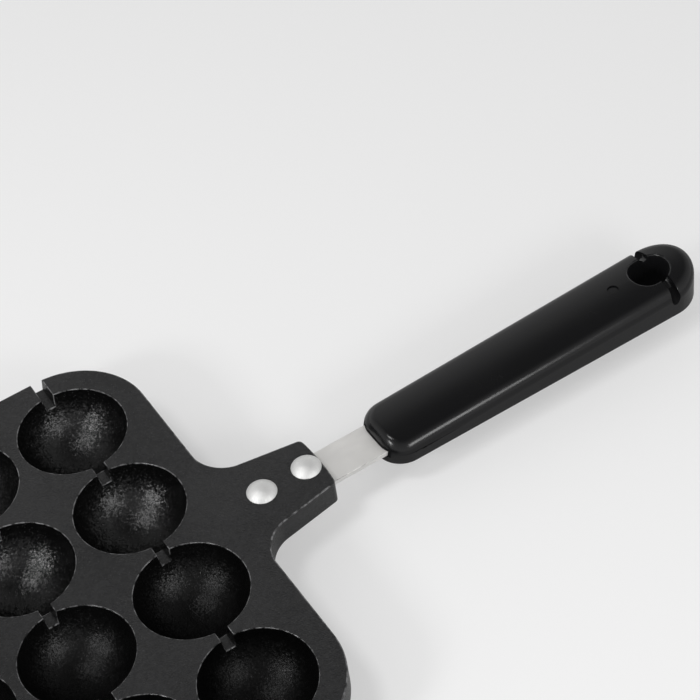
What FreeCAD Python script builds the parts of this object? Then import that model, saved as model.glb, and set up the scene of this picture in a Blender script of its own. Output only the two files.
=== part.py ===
import FreeCAD, Part
import math
import os
import Sketcher

# Takoyaki pan, built as it is made: one cast aluminium plate with its cups and neck, a flat
# metal strip riveted under the neck, and a moulded grip that is pushed onto the strip and
# held by one screw from below.
#
# Frame: +Z up, +X along the grip, origin at the centre of the grid of cups, on the surface
# that the pan rests on. Millimetres and degrees.

SIZES = {
    # plate and cups
    "cup_pitch": 46.0,
    "cups_along": 3,
    "cups_across": 4,
    "rim_radius": 20.9,
    "rim_margin": 9.8,
    "cup_depth": 19.8,
    "cup_wall": 3.0,
    "cup_floor": 2.2,
    "deck": 6.2,
    "skirt_depth": 10.3,
    "skirt_wall": 3.6,
    "top_edge": 0.5,
    "groove_width": 5.3,
    "groove_depth": 4.0,
    # neck
    "neck_length": 36.9,
    "neck_end_width": 25.0,
    "neck_bow": 0.8,
    "neck_taper": 9.4,
    "neck_root": 11.0,
    "neck_corner": 2.4,
    "neck_deck": 5.2,
    "neck_room": 1.6,
    # strip
    "strip_width": 16.2,
    "strip_thick": 2.0,
    "strip_behind_rivet": 8.0,
    "strip_bare": 22.2,
    "strip_in_grip": 64.0,
    "strip_corner": 2.0,
    # rivets
    "rivet_from_end": 5.9,
    "rivet_pitch": 19.0,
    "rivet_shank": 5.0,
    "rivet_head": 11.3,
    "rivet_rise": 2.5,
    "rivet_tail": 8.4,
    "rivet_tail_high": 1.6,
    "rivet_fit": 0.1,
    # grip
    "grip_length": 146.4,
    "grip_nose_width": 27.8,
    "grip_end_width": 29.2,
    "grip_floor": 3.6,
    "grip_rise": 2.05,
    "crown_radius": 36.0,
    "shoulder": 6.0,
    "nose_corner": 10.4,
    "low_edge": 0.5,
    "mouth_fit": 0.2,
    "mouth_gap": 1.2,
    "eye_length": 16.8,
    "eye_width": 14.6,
    "eye_from_end": 18.2,
    "eye_draft": 3.0,
    "eye_edge": 0.5,
    "ring_width": 4.0,
    "ring_radius": 19.7,
    "ring_drop": 14.8,
    "ring_past_eye": 2.3,
    "dimple_radius": 2.3,
    "dimple_depth": 0.6,
    "dimple_from_eye": 17.0,
    # screw
    "screw_from_nose": 30.0,
    "screw_radius": 2.0,
    "screw_head_radius": 3.7,
    "screw_head_high": 1.9,
    "screw_sunk": 0.3,
    "screw_past_strip": 1.5,
    "screw_tip_room": 0.5,
    "screw_fit": 0.1,
    "cross_width": 0.9,
    "cross_reach": 1.9,
    "cross_depth": 1.2,
    # how far a cut runs past the face that it opens
    "overrun": 1.0,
}
TOUCH = 1e-3

doc = FreeCAD.newDocument("takoyaki_pan")
sheet = doc.addObject("Spreadsheet::Sheet", "dims")
for row, (alias, size) in enumerate(SIZES.items(), start=1):
    sheet.set(f"A{row}", alias)
    sheet.set(f"B{row}", str(size))
    sheet.setAlias(f"B{row}", alias)
doc.recompute()

# Lengths that more than one piece needs, as formulas on the sheet.
TOP = "(dims.cup_depth + dims.cup_floor)"
CORNER = "(dims.rim_radius + dims.rim_margin)"
FIRST_X = "(-(dims.cups_along - 1) / 2 * dims.cup_pitch)"
FIRST_Y = "(-(dims.cups_across - 1) / 2 * dims.cup_pitch)"
HALF_X = f"({CORNER} - {FIRST_X})"
HALF_Y = f"({CORNER} - {FIRST_Y})"
SPHERE = "((dims.rim_radius ^ 2 + dims.cup_depth ^ 2) / (2 * dims.cup_depth))"
SPHERE_Z = f"({TOP} - dims.cup_depth + {SPHERE})"
NECK_END = f"({HALF_X} + dims.neck_length)"
RIVET_FRONT = f"({NECK_END} - dims.rivet_from_end)"
RIVET_REAR = f"({RIVET_FRONT} - dims.rivet_pitch)"
STRIP_TOP = f"({TOP} - dims.neck_deck)"
STRIP_LOW = f"({STRIP_TOP} - dims.strip_thick)"
NOSE = f"({NECK_END} + dims.strip_bare)"
GRIP_END = f"({NOSE} + dims.grip_length)"
GRIP_LOW = f"({STRIP_LOW} - dims.grip_floor)"
GRIP_CREST = f"({TOP} + dims.grip_length * tan(dims.grip_rise * 1 deg))"
EYE = f"({GRIP_END} - dims.eye_from_end)"
SCREW = f"({NOSE} + dims.screw_from_nose)"
RIVET_HOLE = "(dims.rivet_shank / 2 + dims.rivet_fit)"
SCREW_HOLE = "(dims.screw_radius + dims.screw_fit)"
SCREW_LOW = f"({GRIP_LOW} + dims.screw_sunk)"
SCREW_TIP = f"({STRIP_TOP} + dims.screw_past_strip)"


def value(formula):
    return float(sheet.evalExpression(formula))


def point(x, y):
    return FreeCAD.Vector(value(x), value(y), 0)


def angle_at(centre, place):
    """Direction of a sketch point seen from an arc's centre."""
    arm = point(*place) - point(*centre)
    return math.atan2(arm.y, arm.x)


def near(a, b):
    return abs(a - b) < TOUCH


def middle(edge):
    return edge.valueAt((edge.FirstParameter + edge.LastParameter) / 2)


def is_upright(edge):
    box = edge.BoundBox
    return max(box.XLength, box.YLength) < TOUCH < box.ZLength


# Bodies and sketches


def make_body(label):
    body = doc.addObject("PartDesign::Body", label)
    body.Label = label
    return body


def origin_part(body, role):
    return next(part for part in body.Origin.OriginFeatures if part.Role == role)


def make_sketch(body, name, plane, height="0", shift="0"):
    """Sketch on one of the body's own origin planes, lifted along the plane's normal."""
    sketch = body.newObject("Sketcher::SketchObject", name)
    sketch.AttachmentSupport = [(origin_part(body, f"{plane}_Plane"), "")]
    sketch.MapMode = "FlatFace"
    sketch.setExpression("AttachmentOffset.Base.z", height)
    sketch.setExpression("AttachmentOffset.Base.x", shift)
    return sketch


def pin(sketch, part, spot, x=None, y=None):
    """Holds a sketch point at formulas measured from the sketch's origin."""
    for kind, formula in (("DistanceX", x), ("DistanceY", y)):
        if formula is not None:
            held = Sketcher.Constraint(kind, -1, 1, part, spot, value(formula))
            sketch.setExpression(f"Constraints[{sketch.addConstraint(held)}]", formula)


def set_radius(sketch, part, formula):
    held = Sketcher.Constraint("Radius", part, value(formula))
    sketch.setExpression(f"Constraints[{sketch.addConstraint(held)}]", formula)


def round_part(centre, radius):
    return Part.Circle(point(*centre), FreeCAD.Vector(0, 0, 1), value(radius))


def circle(sketch, x, y, radius):
    part = sketch.addGeometry(round_part((x, y), radius), False)
    pin(sketch, part, 3, x, y)
    set_radius(sketch, part, radius)


def outline(sketch, corners, arcs=None):
    """Closed outline through pairs of formulas.

    arcs gives, for the side that starts at that corner, its centre, its radius and the one
    coordinate that holds its far end, which the radius holds otherwise. Arcs turn left.
    """
    arcs = arcs or {}
    count = len(corners)
    for index, start in enumerate(corners):
        end = corners[(index + 1) % count]
        if index in arcs:
            centre, radius, _ = arcs[index]
            angles = angle_at(centre, start), angle_at(centre, end)
            sketch.addGeometry(Part.ArcOfCircle(round_part(centre, radius), *angles), False)
            pin(sketch, index, 3, *centre)
        else:
            sketch.addGeometry(Part.LineSegment(point(*start), point(*end)), False)
    for index, (x, y) in enumerate(corners):
        before = (index - 1) % count
        sketch.addConstraint(Sketcher.Constraint("Coincident", before, 2, index, 1))
        held = arcs[before][2] if before in arcs else "xy"
        pin(sketch, index, 1, x if "x" in held else None, y if "y" in held else None)


def rectangle(sketch, low_x, low_y, high_x, high_y):
    outline(sketch, [(low_x, low_y), (high_x, low_y), (high_x, high_y), (low_x, high_y)])


def belt(sketch, discs):
    """Outline pulled tight round discs, each given as x, y and radius, turning left."""
    spots = [(point(x, y), value(radius)) for x, y, radius in discs]
    leaving = []
    for index, (here, radius) in enumerate(spots):
        there, other = spots[(index + 1) % len(spots)]
        run = there - here
        slope = math.atan2(run.y, run.x) + math.asin((radius - other) / run.Length)
        leaving.append(slope - math.pi / 2)
    count = len(discs)
    for index, (x, y, radius) in enumerate(discs):
        span = leaving[index - 1], leaving[index]
        arc = sketch.addGeometry(Part.ArcOfCircle(round_part((x, y), radius), *span), False)
        here, size = spots[index]
        there, other = spots[(index + 1) % count]
        out = FreeCAD.Vector(math.cos(leaving[index]), math.sin(leaving[index]), 0)
        sketch.addGeometry(Part.LineSegment(here + out * size, there + out * other), False)
        pin(sketch, arc, 3, x, y)
        set_radius(sketch, arc, radius)
    for index in range(count):
        arc, line, following = 2 * index, 2 * index + 1, (2 * index + 2) % (2 * count)
        sketch.addConstraint(Sketcher.Constraint("Tangent", arc, 2, line, 1))
        sketch.addConstraint(Sketcher.Constraint("Tangent", line, 2, following, 1))


# Features


def pad(body, sketch, length, down=False):
    feature = body.newObject("PartDesign::Pad", sketch.Name + "_pad")
    feature.Profile = sketch
    feature.setExpression("Length", length)
    feature.Reversed = down
    doc.recompute()
    return feature


def pocket(body, sketch, length, reverse=False, both_ways=False):
    """A cut that has to take material away, so the volumes are compared."""
    before = body.Tip.Shape.Volume
    feature = body.newObject("PartDesign::Pocket", sketch.Name + "_cut")
    feature.Profile = sketch
    feature.setExpression("Length", length)
    feature.Reversed = reverse
    feature.SideType = "Symmetric" if both_ways else "One side"
    doc.recompute()
    if feature.Shape.Volume >= before:
        raise RuntimeError(f"{feature.Name} cuts nothing")
    return feature


def turn(body, sketch, cut=False, axis="V_Axis"):
    """Full turn of a profile about one of the sketch's own axes."""
    kind = "Groove" if cut else "Revolution"
    before = body.Tip.Shape.Volume if cut else 0
    feature = body.newObject(f"PartDesign::{kind}", sketch.Name + "_turned")
    feature.Profile = sketch
    feature.ReferenceAxis = (sketch, [axis])
    feature.Angle = 360
    doc.recompute()
    if cut and feature.Shape.Volume >= before:
        raise RuntimeError(f"{feature.Name} cuts nothing")
    return feature


def dress(body, kind, name, size, wanted):
    """Fillet or chamfer on those edges of the tip that the test picks."""
    base = body.Tip
    names = [f"Edge{i}" for i, edge in enumerate(base.Shape.Edges, start=1) if wanted(edge)]
    if not names:
        raise RuntimeError(f"{name} finds no edge")
    feature = body.newObject(f"PartDesign::{kind}", name)
    feature.Base = (base, names)
    feature.setExpression("Radius" if kind == "Fillet" else "Size", size)
    doc.recompute()
    return feature


def repeat(body, feature, across=False):
    """Repeats a feature of the first row along the plate, and across it too for cups."""
    pattern = body.newObject("PartDesign::LinearPattern", feature.Name + "_repeated")
    pattern.Originals = [feature]
    pattern.Direction = (origin_part(body, "X_Axis"), [""])
    pattern.setExpression("Length", "(dims.cups_along - 1) * dims.cup_pitch")
    pattern.setExpression("Occurrences", "dims.cups_along")
    if across:
        pattern.Direction2 = (origin_part(body, "Y_Axis"), [""])
        pattern.setExpression("Length2", "(dims.cups_across - 1) * dims.cup_pitch")
        pattern.setExpression("Occurrences2", "dims.cups_across")
    body.Tip = pattern
    doc.recompute()
    return pattern


# Cast plate


def cast_block(body):
    """Solid block of the plate and its neck, down to the skirt's lower edge."""
    plate = make_sketch(body, "plate_outline", "XY", TOP)
    far_x, far_y = f"(-{FIRST_X})", f"(-{FIRST_Y})"
    spots = [(FIRST_X, FIRST_Y), (far_x, FIRST_Y), (far_x, far_y), (FIRST_X, far_y)]
    belt(plate, [(x, y, CORNER) for x, y in spots])
    pad(body, plate, "dims.skirt_depth", down=True)

    neck = make_sketch(body, "neck_outline", "XY", TOP)
    root = f"({HALF_X} - dims.skirt_wall)"
    end = f"({NECK_END} - dims.neck_bow)"
    end_half = "(dims.neck_end_width / 2)"
    root_half = f"({end_half} + ({end} - {root}) * tan(dims.neck_taper * 1 deg))"
    bow = f"(({end_half} ^ 2 + dims.neck_bow ^ 2) / (2 * dims.neck_bow))"
    corners = [(root, f"-{root_half}"), (end, f"-{end_half}"), (end, end_half), (root, root_half)]
    outline(neck, corners, {1: ((f"{NECK_END} - {bow}", "0"), bow, "y")})
    pad(body, neck, "dims.skirt_depth", down=True)
    side, tip, reach, top = value(HALF_X), value(end), value(root_half), value(TOP)

    def at_root(edge):
        return is_upright(edge) and near(middle(edge).x, side) and abs(middle(edge).y) < reach

    def at_tip(edge):
        return is_upright(edge) and near(middle(edge).x, tip)

    dress(body, "Fillet", "neck_roots", "dims.neck_root", at_root)
    dress(body, "Fillet", "neck_corners", "dims.neck_corner", at_tip)
    dress(body, "Chamfer", "top_edge", "dims.top_edge", lambda e: near(e.BoundBox.ZMin, top))


def hollow_underside(body):
    """Opens the block from below, so that deck, skirt and the neck's flanges are left."""
    low = f"{TOP} - dims.skirt_depth"
    hollow = make_sketch(body, "plate_hollow", "XY", low)
    far_x, far_y = f"(-{FIRST_X})", f"(-{FIRST_Y})"
    spots = [(FIRST_X, FIRST_Y), (far_x, FIRST_Y), (far_x, far_y), (FIRST_X, far_y)]
    belt(hollow, [(x, y, f"({CORNER} - dims.skirt_wall)") for x, y in spots])
    pocket(body, hollow, "dims.skirt_depth - dims.deck", reverse=True)

    channel = make_sketch(body, "neck_channel", "XY", low)
    start, end = HALF_X, f"({NECK_END} + dims.overrun)"
    end_half = "(dims.strip_width / 2 + dims.neck_room)"
    start_half = f"({end_half} + ({end} - {start}) * tan(dims.neck_taper * 1 deg))"
    outline(
        channel,
        [(start, f"-{start_half}"), (end, f"-{end_half}"), (end, end_half), (start, start_half)],
    )
    pocket(body, channel, "dims.skirt_depth - dims.neck_deck", reverse=True)


def add_domes(body):
    """Dome under each cup, an even wall thick, ground flat where it rests."""
    dome = make_sketch(body, "dome", "XZ", f"-{FIRST_Y}", FIRST_X)
    radius = f"({SPHERE} + dims.cup_wall)"
    high = f"({TOP} - dims.deck / 2)"
    corners = [
        ("0", "0"),
        (f"sqrt({radius} ^ 2 - {SPHERE_Z} ^ 2)", "0"),
        (f"sqrt({radius} ^ 2 - ({SPHERE_Z} - {high}) ^ 2)", high),
        ("0", high),
    ]
    outline(dome, corners, {1: (("0", SPHERE_Z), radius, "y")})
    repeat(body, turn(body, dome), across=True)


def cut_cups(body):
    """Cups, each a cap of a sphere."""
    cup = make_sketch(body, "cup", "XZ", f"-{FIRST_Y}", FIRST_X)
    over = f"({TOP} + dims.overrun)"
    corners = [
        ("0", f"({TOP} - dims.cup_depth)"),
        ("dims.rim_radius", TOP),
        ("dims.rim_radius", over),
        ("0", over),
    ]
    outline(cup, corners, {0: (("0", SPHERE_Z), SPHERE, "y")})
    repeat(body, turn(body, cup, cut=True), across=True)


def cut_grooves(body):
    """Guide grooves from cup to cup, open at both sides of the plate."""
    groove = make_sketch(body, "guide_groove", "XY", TOP)
    half, reach = "dims.groove_width / 2", f"({HALF_Y} + dims.overrun)"
    rectangle(groove, f"{FIRST_X} - {half}", f"-{reach}", f"{FIRST_X} + {half}", reach)
    repeat(body, pocket(body, groove, "dims.groove_depth"))


def cut_rivet_holes(body, name, depth):
    holes = make_sketch(body, name, "XY", TOP)
    for place in (RIVET_FRONT, RIVET_REAR):
        circle(holes, place, "0", RIVET_HOLE)
    pocket(body, holes, depth)


def build_plate():
    body = make_body("pan_plate")
    cast_block(body)
    hollow_underside(body)
    add_domes(body)
    cut_cups(body)
    cut_grooves(body)
    cut_rivet_holes(body, "neck_rivet_holes", "dims.neck_deck + dims.overrun")
    return body


# Strip and rivets


def build_strip():
    """Flat strip from under the neck into the grip."""
    body = make_body("grip_strip")
    blank = make_sketch(body, "strip_blank", "XY", STRIP_TOP)
    half = "(dims.strip_width / 2 - dims.strip_corner)"
    back = f"({RIVET_REAR} - dims.strip_behind_rivet + dims.strip_corner)"
    front = f"({NOSE} + dims.strip_in_grip - dims.strip_corner)"
    spots = [(back, f"-{half}"), (front, f"-{half}"), (front, half), (back, half)]
    belt(blank, [(x, y, "dims.strip_corner") for x, y in spots])
    pad(body, blank, "dims.strip_thick", down=True)
    depth = "dims.neck_deck + dims.strip_thick + dims.overrun"
    cut_rivet_holes(body, "strip_rivet_holes", depth)
    tap = make_sketch(body, "strip_screw_hole", "XY", STRIP_TOP)
    circle(tap, SCREW, "0", SCREW_HOLE)
    pocket(body, tap, "dims.strip_thick + dims.overrun")
    return body


def build_rivet(label, place):
    """Domed head on the neck, shank through neck and strip, flat tail below the strip."""
    body = make_body(label)
    profile = make_sketch(body, label + "_profile", "XZ", "0", place)
    head, shank, tail = "(dims.rivet_head / 2)", "(dims.rivet_shank / 2)", "(dims.rivet_tail / 2)"
    radius = f"(({head} ^ 2 + dims.rivet_rise ^ 2) / (2 * dims.rivet_rise))"
    crest = f"({TOP} + dims.rivet_rise)"
    low = f"({STRIP_LOW} - dims.rivet_tail_high)"
    corners = [
        (head, TOP),
        ("0", crest),
        ("0", low),
        (tail, low),
        (tail, STRIP_LOW),
        (shank, STRIP_LOW),
        (shank, TOP),
    ]
    outline(profile, corners, {0: (("0", f"({crest} - {radius})"), radius, "x")})
    turn(body, profile)
    return body


# Grip and screw


def crowned_bar(body):
    """Bar with a rounded nose and end, its top crowned and rising towards the end."""
    plan = make_sketch(body, "grip_plan", "XY", GRIP_LOW)
    nose_x = f"({NOSE} + dims.nose_corner)"
    nose_y = "(dims.grip_nose_width / 2 - dims.nose_corner)"
    end_r = "(dims.grip_end_width / 2)"
    discs = [
        (nose_x, f"-{nose_y}", "dims.nose_corner"),
        (f"({GRIP_END} - {end_r})", "0", end_r),
        (nose_x, nose_y, "dims.nose_corner"),
    ]
    belt(plan, discs)
    pad(body, plan, f"{GRIP_CREST} - {GRIP_LOW}")

    over = make_sketch(body, "over_crown", "YZ")
    lift = f"create(<<vector>>; 0; {TOP}; {NOSE})"
    tilt = "create(<<rotation>>; create(<<vector>>; 1; 0; 0); -dims.grip_rise)"
    over.setExpression("AttachmentOffset", f"create(<<placement>>; {lift}; {tilt})")
    reach = "dims.grip_end_width"
    edge = f"(sqrt(dims.crown_radius ^ 2 - {reach} ^ 2) - dims.crown_radius)"
    corners = [(reach, edge), (f"-{reach}", edge), (f"-{reach}", reach), (reach, reach)]
    outline(over, corners, {0: (("0", "-dims.crown_radius"), "dims.crown_radius", "x")})
    pocket(body, over, "3 * dims.grip_length", both_ways=True)
    waist = value(f"({TOP} + {GRIP_LOW}) / 2")
    dress(body, "Fillet", "shoulders", "dims.shoulder", lambda e: e.BoundBox.ZMin > waist)
    low = value(GRIP_LOW)
    dress(body, "Chamfer", "low_edge", "dims.low_edge", lambda e: near(e.BoundBox.ZMax, low))


def cut_eye(body):
    """Oval hanging hole that narrows towards its foot."""
    wide = "(dims.eye_width / 2)"
    shift = f"(dims.eye_length / 2 - {wide})"
    rings = []
    for name, height, radius in (
        ("eye_mouth", GRIP_CREST, wide),
        ("eye_foot", f"{GRIP_LOW} - dims.overrun", f"({wide} - dims.eye_draft)"),
    ):
        ring = make_sketch(body, name, "XY", height)
        belt(ring, [(f"({EYE} - {shift})", "0", radius), (f"({EYE} + {shift})", "0", radius)])
        rings.append(ring)
    taper = body.newObject("PartDesign::SubtractiveLoft", "eye_cut")
    taper.Profile, taper.Sections = rings[0], rings[1:]
    taper.Ruled = True
    doc.recompute()
    place, long_half = value(EYE), value("dims.eye_length / 2") + TOUCH
    short_half = value("dims.eye_width / 2") + TOUCH

    def on_rim(edge):
        along, across = abs(middle(edge).x - place), abs(middle(edge).y)
        return not is_upright(edge) and along < long_half and across < short_half

    dress(body, "Chamfer", "eye_edges", "dims.eye_edge", on_rim)


def cut_ring_groove(body):
    """Round groove over both walls of the eye, for a hanging ring, running out down the sides."""
    groove = make_sketch(body, "ring_groove", "XZ")
    groove.setExpression("AttachmentOffset.Base.y", f"{TOP} - dims.ring_drop")
    circle(groove, f"{EYE} + dims.ring_past_eye", "dims.ring_radius", "dims.ring_width / 2")
    turn(body, groove, cut=True, axis="H_Axis")


def cut_dimple(body):
    """Shallow round mark in the crown, ahead of the hanging hole."""
    place = f"({EYE} - dims.dimple_from_eye)"
    mark = make_sketch(body, "dimple", "XZ", "0", place)
    crown = f"({TOP} + ({place} - {NOSE}) * tan(dims.grip_rise * 1 deg))"
    floor, over = f"({crown} - dims.dimple_depth)", f"({crown} + dims.dimple_depth)"
    rectangle(mark, "0", floor, "dims.dimple_radius", over)
    turn(body, mark, cut=True)


def cut_mouth(body):
    """Pocket for the strip: it lies on the floor, with an open line above it."""
    mouth = make_sketch(body, "mouth", "YZ", NOSE)
    half = "(dims.strip_width / 2 + dims.mouth_fit)"
    rectangle(mouth, f"-{half}", STRIP_LOW, half, f"{STRIP_TOP} + dims.mouth_gap")
    pocket(body, mouth, "dims.strip_in_grip + dims.mouth_fit", reverse=True)


def cut_screw_hole(body):
    """Countersunk from below, blind above the strip."""
    hole = make_sketch(body, "screw_hole", "XZ", "0", SCREW)
    head = "(dims.screw_head_radius + dims.screw_fit)"
    tip, under = f"({SCREW_TIP} + dims.screw_tip_room)", f"({GRIP_LOW} - dims.overrun)"
    corners = [
        ("0", under),
        (head, under),
        (head, SCREW_LOW),
        (SCREW_HOLE, f"({SCREW_LOW} + dims.screw_head_high)"),
        (SCREW_HOLE, tip),
        ("0", tip),
    ]
    outline(hole, corners)
    turn(body, hole, cut=True)


def build_grip():
    body = make_body("grip")
    crowned_bar(body)
    cut_eye(body)
    cut_ring_groove(body)
    cut_dimple(body)
    cut_mouth(body)
    cut_screw_hole(body)
    return body


def build_screw():
    """Countersunk screw with a cross recess, put in from below."""
    body = make_body("grip_screw")
    profile = make_sketch(body, "screw_profile", "XZ", "0", SCREW)
    corners = [
        ("0", SCREW_LOW),
        ("dims.screw_head_radius", SCREW_LOW),
        ("dims.screw_radius", f"({SCREW_LOW} + dims.screw_head_high)"),
        ("dims.screw_radius", SCREW_TIP),
        ("0", SCREW_TIP),
    ]
    outline(profile, corners)
    turn(body, profile)
    reach, half = "dims.cross_reach", "dims.cross_width / 2"
    for name, along, across in (("lengthways", reach, half), ("crossways", half, reach)):
        recess = make_sketch(body, f"recess_{name}", "XY", SCREW_LOW)
        rectangle(recess, f"{SCREW} - {along}", f"-({across})", f"{SCREW} + {along}", across)
        pocket(body, recess, "dims.cross_depth", reverse=True)
    return body


pieces = [
    build_plate(),
    build_strip(),
    build_rivet("rivet_front", RIVET_FRONT),
    build_rivet("rivet_rear", RIVET_REAR),
    build_grip(),
    build_screw(),
]
doc.recompute()

for item in doc.Objects:
    if {"Invalid", "Error"} & set(item.State):
        raise RuntimeError(f"{item.Label} failed: {item.State}")
for piece in pieces:
    shape = piece.Shape
    if shape.isNull() or not shape.isValid() or len(shape.Solids) != 1:
        raise RuntimeError(f"{piece.Label} is not one sound solid")

os.makedirs("parts", exist_ok=True)
for piece in pieces:
    piece.Shape.exportStep(f"parts/{piece.Label}.step")
    print(f"{piece.Label}: {piece.Shape.Volume / 1000:.1f} cm3")
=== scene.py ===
import bmesh
import bpy
import math
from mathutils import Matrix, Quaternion, Vector


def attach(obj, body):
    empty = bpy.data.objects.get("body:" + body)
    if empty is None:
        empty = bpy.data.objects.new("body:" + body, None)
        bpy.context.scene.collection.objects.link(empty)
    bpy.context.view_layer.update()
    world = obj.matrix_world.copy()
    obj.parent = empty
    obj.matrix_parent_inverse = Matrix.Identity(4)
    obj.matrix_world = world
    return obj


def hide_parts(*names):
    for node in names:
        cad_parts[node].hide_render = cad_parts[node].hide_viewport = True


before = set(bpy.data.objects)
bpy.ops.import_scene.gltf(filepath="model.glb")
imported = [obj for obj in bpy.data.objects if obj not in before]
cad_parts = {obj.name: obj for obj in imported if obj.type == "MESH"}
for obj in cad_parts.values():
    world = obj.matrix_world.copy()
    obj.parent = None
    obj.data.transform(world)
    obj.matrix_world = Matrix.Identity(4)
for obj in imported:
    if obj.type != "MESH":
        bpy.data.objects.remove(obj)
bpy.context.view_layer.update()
mm = 0.001
slack = 0.01 * mm  # a vertex this near a place lies on it
weld = 0.001 * mm  # vertices nearer than this are merged
level = 0.1 * mm  # an edge that rises less than this lies flat
nearby = 1  # mm, vertices this near an end belong to it
overrun = 1  # mm, how far a tool runs past the face that it cuts
edgeSteps = 3  # segments of a small rounded edge
edgeWearAndReflectionWidth = 1  # mm, edges rounded by less than this show wear and painted edge reflections


def makeActive(piece):
    bpy.ops.object.select_all(action="DESELECT")
    piece.select_set(True)
    bpy.context.view_layer.objects.active = piece


def openPiece(piece, kind="EDGE"):
    makeActive(piece)
    bpy.ops.object.mode_set(mode="EDIT")
    bpy.ops.mesh.select_mode(type=kind)
    bpy.ops.mesh.select_all(action="DESELECT")
    return bmesh.from_edit_mesh(piece.data)


def closePiece():
    bpy.ops.object.mode_set(mode="OBJECT")


def settle(piece):  # puts its place and size into its mesh
    makeActive(piece)
    bpy.ops.object.transform_apply(location=True, rotation=True, scale=True)
    return piece


def addBlock(name, low, high):  # low and high corners in mm
    size = [b - a for a, b in zip(low, high)]
    middle = [(a + b) / 2 * mm for a, b in zip(low, high)]
    bpy.ops.mesh.primitive_cube_add(size=mm, location=middle)
    block = bpy.context.active_object
    block.name = name
    block.scale = size
    return settle(block)


def addRod(name, place, radius, low, high, steps=48):
    middle = (place[0] * mm, place[1] * mm, (low + high) / 2 * mm)
    bpy.ops.mesh.primitive_cylinder_add(
        vertices=steps, radius=radius * mm, depth=(high - low) * mm, location=middle
    )
    rod = bpy.context.active_object
    rod.name = name
    return settle(rod)


def addBall(name, centre, radius, steps):  # steps around and from pole to pole
    bpy.ops.mesh.primitive_uv_sphere_add(
        segments=steps[0], ring_count=steps[1], radius=radius * mm,
        location=[c * mm for c in centre],
    )
    ball = bpy.context.active_object
    ball.name = name
    return settle(ball)


def joined(parts):
    makeActive(parts[0])
    for part in parts:
        part.select_set(True)
    bpy.ops.object.join()
    return parts[0]


def combine(piece, tool, way):  # the tool is used up
    change = piece.modifiers.new(way, "BOOLEAN")
    change.operation = way
    change.solver = "EXACT"
    change.object = tool
    makeActive(piece)
    bpy.ops.object.modifier_apply(modifier=change.name)
    bpy.data.objects.remove(tool)


def bevelEdges(piece, wanted, width, steps, clamp=True):  # marks small ones for wear and painted edge reflections
    shape = openPiece(piece)
    count = 0
    for edge in shape.edges:
        if wanted(edge):
            edge.select_set(True)
            count += 1
    bmesh.update_edit_mesh(piece.data)
    if count:
        bpy.ops.mesh.bevel(
            offset=width * mm, segments=steps, affect="EDGES", clamp_overlap=clamp
        )
        shape = bmesh.from_edit_mesh(piece.data)
        mark = shape.faces.layers.float.get("edge") or shape.faces.layers.float.new("edge")
        for face in shape.faces:
            narrow = face.calc_area() < width * mm * face.calc_perimeter() / 2
            if face.select and narrow and width < edgeWearAndReflectionWidth:
                face[mark] = 1
        bmesh.update_edit_mesh(piece.data)
    closePiece()
    print(f"  {piece.name}: {count} edges rounded by {width} mm")


def mergeFlatFaces(piece, degrees=0.1):
    openPiece(piece, "VERT")
    bpy.ops.mesh.select_all(action="SELECT")
    bpy.ops.mesh.remove_doubles(threshold=weld)
    bpy.ops.mesh.dissolve_limited(angle_limit=math.radians(degrees))
    closePiece()


def isUpright(edge):
    a, b = (v.co for v in edge.verts)
    return (a - b).xy.length < slack and abs(a.z - b.z) > level


def atHeight(edge, height):
    return all(abs(v.co.z - height * mm) < slack for v in edge.verts)


def isSharp(edge, degrees=30):
    return len(edge.link_faces) == 2 and edge.calc_face_angle(0) > math.radians(degrees)


def bends(edge):  # convex edges only
    return edge.is_convex and isSharp(edge)


def spunPiece(name, place, outline, steps):  # a profile drawn point by point, then spun round z
    bpy.ops.object.select_all(action="DESELECT")
    bpy.ops.mesh.primitive_plane_add(size=mm, location=(0, 0, 0))
    piece = bpy.context.active_object
    piece.name = name
    openPiece(piece, "VERT")
    bpy.ops.mesh.select_all(action="SELECT")
    bpy.ops.mesh.merge(type="CENTER")
    spots = [Vector((x, 0, z)) * mm for x, z in outline]
    bpy.ops.transform.translate(value=spots[0])
    for before, after in zip(spots, spots[1:]):
        bpy.ops.mesh.extrude_vertices_move(TRANSFORM_OT_translate={"value": after - before})
    bpy.ops.mesh.select_all(action="SELECT")
    bpy.ops.mesh.spin(steps=steps, angle=2 * math.pi, center=(0, 0, 0), axis=(0, 0, 1))
    bpy.ops.mesh.select_all(action="SELECT")
    bpy.ops.mesh.remove_doubles(threshold=weld)
    bpy.ops.mesh.normals_make_consistent(inside=False)
    bpy.ops.transform.translate(value=(place[0] * mm, place[1] * mm, 0))
    closePiece()
    return piece


def roundCorner(centre, radius, start, end, steps):  # points of an arc, angles in degrees
    for step in range(steps + 1):
        turn = math.radians(start + (end - start) * step / steps)
        yield centre[0] + radius * math.cos(turn), centre[1] + radius * math.sin(turn)


def smoothPiece(piece, degrees=32, weight=80):
    makeActive(piece)
    bpy.ops.object.shade_smooth_by_angle(angle=math.radians(degrees))
    even = piece.modifiers.new("even", "WEIGHTED_NORMAL")
    even.keep_sharp = True
    even.weight = weight
    bpy.ops.object.modifier_apply(modifier=even.name)


def finishPiece(piece, node, slotName, *materials):
    for material in materials:
        piece.data.materials.append(material)
    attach(piece, "root")
    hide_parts(node)
    print(f"{piece.name}: {len(piece.data.polygons)} faces")


camera = {
    "place": (-101.87, -484.17, 650.15),  # mm
    "heading": 64.16,  # degrees from +X toward +Y
    "dip": 47.21,
    "roll": -8.80,
    "lens": 115.2,  # mm
    "sensor": 36,
    "clip": (0.01, 20),  # m
}


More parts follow.
